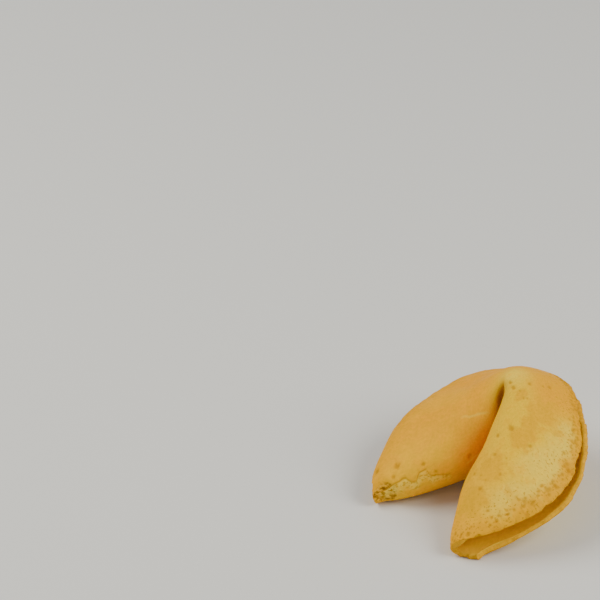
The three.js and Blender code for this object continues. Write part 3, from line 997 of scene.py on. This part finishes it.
def baked_crust(settings):
    """The wafer's one material, with the outer face's colour, the inner face's, which is made
    bright as painted light inside the mouth and has painted shade along the fold, and a fine grain
    over both."""
    material = bpy.data.materials.new("Baked crust")
    nodes = Nodes(material)
    wafer = nodes.place("wafer")
    inside = nodes.ramp(nodes.mask("inside"), *INSIDE_SPAN)
    broad = nodes.noise(wafer, *BROAD_NOISE)
    patch = nodes.noise(wafer, *PATCH_NOISE)
    blotch = nodes.noise(wafer, *BLOTCH_NOISE)
    fine = nodes.noise(wafer, *FINE_NOISE)

    # How far out on the flat wafer, from 0 in the middle to 1 at the rim, unevenly baked
    ring = nodes.mask("out")
    for noise_value, shift in ((broad, RING_SHIFT_BROAD), (patch, RING_SHIFT_PATCH)):
        ring = nodes.math("ADD", ring, nodes.ramp(noise_value, *NOISE_SPAN, -shift, shift))

    colour = outer_colour(nodes, settings, ring, broad, patch, blotch)
    # Painted shade darkens the inner face along the fold, deep in the mouth; its own colour is made
    # bright as painted light
    inner = nodes.laid_over(rgba(settings.inner), settings.browned_and_shade, nodes.mask("fold"),
                            INNER_FOLD_SHADE_STRENGTH)
    colour = nodes.blend(inside, colour, inner)
    colour = broken_colour(nodes, settings, colour, patch, fine)
    colour = nodes.laid_over(colour, settings.pore, pitted(nodes, wafer, ring, inside), PORE_STRENGTH)
    shade = nodes.math("ADD", nodes.ramp(fine, *FINE_SPAN, *FINE_SHADES),
                       nodes.ramp(blotch, *BLOTCH_SPAN, *BLOTCH_SHADES))
    colour = nodes.blend(1.0, colour, shade, "MULTIPLY")

    height = nodes.all_of(nodes.math("ADD", fine, blotch), GRAIN_BUMP)
    bump = nodes.add("ShaderNodeBump", {"Height": height, "Strength": GRAIN_BUMP_STRENGTH,
                                        "Distance": 1.0})

    shader = nodes.shader
    nodes.tree.links.new(colour, shader.inputs["Base Color"])
    nodes.tree.links.new(bump.outputs["Normal"], shader.inputs["Normal"])
    roughness = nodes.ramp(patch, *ROUGHNESS_SPAN, *CRUST_ROUGHNESS)
    nodes.tree.links.new(roughness, shader.inputs["Roughness"])
    shader.inputs["Specular IOR Level"].default_value = CRUST_SPECULAR
    return material


class CookieSettings(bpy.types.PropertyGroup):
    """What a baker might change about the cookie."""

    wall: FloatProperty(
        name="Wall", description="Thickness of the wafer away from its rim",
        default=0.0019, min=0.001, max=0.003, unit="LENGTH", precision=5)
    wall_at_rim: FloatProperty(
        name="Wall at rim", description="Thickness of the wafer at its rim",
        default=0.00125, min=0.0005, max=0.002, unit="LENGTH", precision=5)
    raggedness: FloatProperty(
        name="Raggedness", description="How deep crumbs have come off the rim",
        default=0.0003, min=0.0, max=0.001, unit="LENGTH", precision=5)
    pore_count: IntProperty(
        name="Pores", description="Number of small pits in the outer face",
        default=420, min=0, max=1500)
    pore_depth: FloatProperty(
        name="Pore depth", description="Depth of a pore of middle size",
        default=0.0002, min=0.0, max=0.0008, unit="LENGTH", precision=5)
    seed: IntProperty(
        name="Seed", description="Which cookie of the batch: moves every pore and bite",
        default=7, min=0)
    golden: FloatVectorProperty(
        name="Golden", description="Main colour of the crust", subtype="COLOR", size=3,
        default=(0.97, 0.62, 0.005), min=0.0, max=1.0)
    gold_spot: FloatVectorProperty(
        name="Gold spots", description="Colour of the deeper spots on the golden crust",
        subtype="COLOR", size=3, default=(0.86, 0.46, 0.0), min=0.0, max=1.0)
    # Also painted shade: laid on the back over the bend, behind the crest
    tan: FloatVectorProperty(
        name="Tan", description="Colour of the lobe that lay nearer the heat", subtype="COLOR",
        size=3, default=(0.95, 0.43, 0.005), min=0.0, max=1.0)
    # Also a painted highlight: makes the knuckle on top of the crest pale
    pale: FloatVectorProperty(
        name="Pale", description="Colour of the least baked patches", subtype="COLOR", size=3,
        default=(0.98, 0.72, 0.08), min=0.0, max=1.0)
    toasted: FloatVectorProperty(
        name="Toasted", description="Colour towards the rim and the tips", subtype="COLOR",
        size=3, default=(0.88, 0.42, 0.0), min=0.0, max=1.0)
    # Also painted shade in the crease and along the inner fold; on the rim, real scorching
    browned_and_shade: FloatVectorProperty(
        name="Browned", description="Colour of the crease, the inner fold and scorched spots",
        subtype="COLOR", size=3, default=(0.42, 0.13, 0.0), min=0.0, max=1.0)
    # Partly painted light: made bright to stand in for light inside the mouth
    inner: FloatVectorProperty(
        name="Inside", description="Colour of the inner face", subtype="COLOR", size=3,
        default=(1.0, 0.6, 0.03), min=0.0, max=1.0)
    pore: FloatVectorProperty(
        name="Pore", description="Colour at the bottom of a pore", subtype="COLOR", size=3,
        default=(0.54, 0.27, 0.0), min=0.0, max=1.0)
    crumb_light: FloatVectorProperty(
        name="Light crumb", description="Light grains of a broken place", subtype="COLOR",
        size=3, default=(0.88, 0.48, 0.03), min=0.0, max=1.0)
    crumb_dark: FloatVectorProperty(
        name="Dark crumb", description="Dark grains of a broken place", subtype="COLOR",
        size=3, default=(0.3, 0.13, 0.005), min=0.0, max=1.0)


class StageSettings(bpy.types.PropertyGroup):
    """Floor, light and camera."""

    floor: FloatVectorProperty(
        name="Floor", description="Colour of the floor", subtype="COLOR", size=3,
        default=(0.75, 0.79, 0.9), min=0.0, max=1.0)
    key: FloatProperty(
        name="Key light", description="Power of the large soft light", default=2.6, min=0.0,
        unit="POWER")
    side: FloatProperty(
        name="Side light", description="Power of the lower light on the other side",
        default=2.6, min=0.0, unit="POWER")
    fill: FloatProperty(
        name="Fill", description="Strength of the light from all round", default=0.32, min=0.0)
    lens: FloatProperty(
        name="Lens", description="Focal length of the camera", default=204.0, min=20.0,
        unit="CAMERA")


class COOKIE_OT_wafer(bpy.types.Operator):
    """Make the folded wafer over its solid"""

    bl_idname = "cookie.wafer"
    bl_label = "Folded Wafer"

    def execute(self, context):
        settings = context.scene.fortune_cookie
        piece = closed_mesh("folded_wafer", *cookie_surface(settings))
        piece.data.materials.append(baked_crust(settings))
        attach(piece, "root")
        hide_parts("cookie")
        return {"FINISHED"}


class COOKIE_OT_stage(bpy.types.Operator):
    """Lay the floor, hang the lights and place the camera"""

    bl_idname = "cookie.stage"
    bl_label = "Stage"

    def execute(self, context):
        settings = context.scene.cookie_stage
        scene = context.scene

        mesh = bpy.data.meshes.new("Floor")
        half = FLOOR_SIZE / 2
        mesh.from_pydata([(-half, -half, 0), (half, -half, 0), (half, half, 0), (-half, half, 0)],
                         [], [(0, 1, 2, 3)])
        floor = bpy.data.objects.new("floor", mesh)
        scene.collection.objects.link(floor)
        paint = bpy.data.materials.new("Pale floor")
        nodes = Nodes(paint)
        nodes.shader.inputs["Base Color"].default_value = rgba(settings.floor)
        nodes.shader.inputs["Roughness"].default_value = FLOOR_ROUGHNESS
        mesh.materials.append(paint)

        world = bpy.data.worlds.new("Studio")
        world.use_nodes = True
        background = world.node_tree.nodes["Background"]
        background.inputs["Color"].default_value = rgba(FILL_COLOUR)
        background.inputs["Strength"].default_value = settings.fill
        scene.world = world

        for name, power, direction, size in (("Key", settings.key, KEY_DIRECTION, KEY_SIZE),
                                             ("Side", settings.side, SIDE_DIRECTION, SIDE_SIZE)):
            lamp = bpy.data.lights.new(name, "AREA")
            lamp.shape = "DISK"
            lamp.size = size
            lamp.energy = power
            lamp.color = LAMP_COLOUR
            light = bpy.data.objects.new(name, lamp)
            toward = Vector(direction).normalized()
            light.location = toward * LAMP_DISTANCE
            light.rotation_euler = toward.to_track_quat("Z", "Y").to_euler()
            scene.collection.objects.link(light)

        camera = bpy.data.objects.new("Camera", bpy.data.cameras.new("Camera"))
        camera.data.lens = settings.lens
        camera.data.sensor_width = SENSOR_WIDTH
        camera.location = CAMERA_PLACE
        aim = Vector(CAMERA_AIM) - camera.location
        camera.rotation_euler = aim.to_track_quat("-Z", "Y").to_euler()
        scene.collection.objects.link(camera)
        scene.camera = camera
        return {"FINISHED"}


class COOKIE_PT_sidebar(bpy.types.Panel):
    """The cookie and its stage in the sidebar"""

    bl_label = "Fortune Cookie"
    bl_idname = "COOKIE_PT_sidebar"
    bl_space_type = "VIEW_3D"
    bl_region_type = "UI"
    bl_category = "Cookie"

    def draw(self, context):
        layout = self.layout
        for settings, operator in ((context.scene.fortune_cookie, COOKIE_OT_wafer),
                                   (context.scene.cookie_stage, COOKIE_OT_stage)):
            box = layout.box()
            for name in settings.bl_rna.properties.keys():
                if name not in ("rna_type", "name"):
                    box.prop(settings, name)
            box.operator(operator.bl_idname)


CLASSES = (CookieSettings, StageSettings, COOKIE_OT_wafer, COOKIE_OT_stage, COOKIE_PT_sidebar)


def register():
    for item in CLASSES:
        bpy.utils.register_class(item)
    bpy.types.Scene.fortune_cookie = PointerProperty(type=CookieSettings)
    bpy.types.Scene.cookie_stage = PointerProperty(type=StageSettings)


def unregister():
    del bpy.types.Scene.cookie_stage
    del bpy.types.Scene.fortune_cookie
    for item in reversed(CLASSES):
        bpy.utils.unregister_class(item)


def main():
    register()
    bpy.ops.cookie.wafer()
    bpy.ops.cookie.stage()


if __name__ == "__main__":
    main()
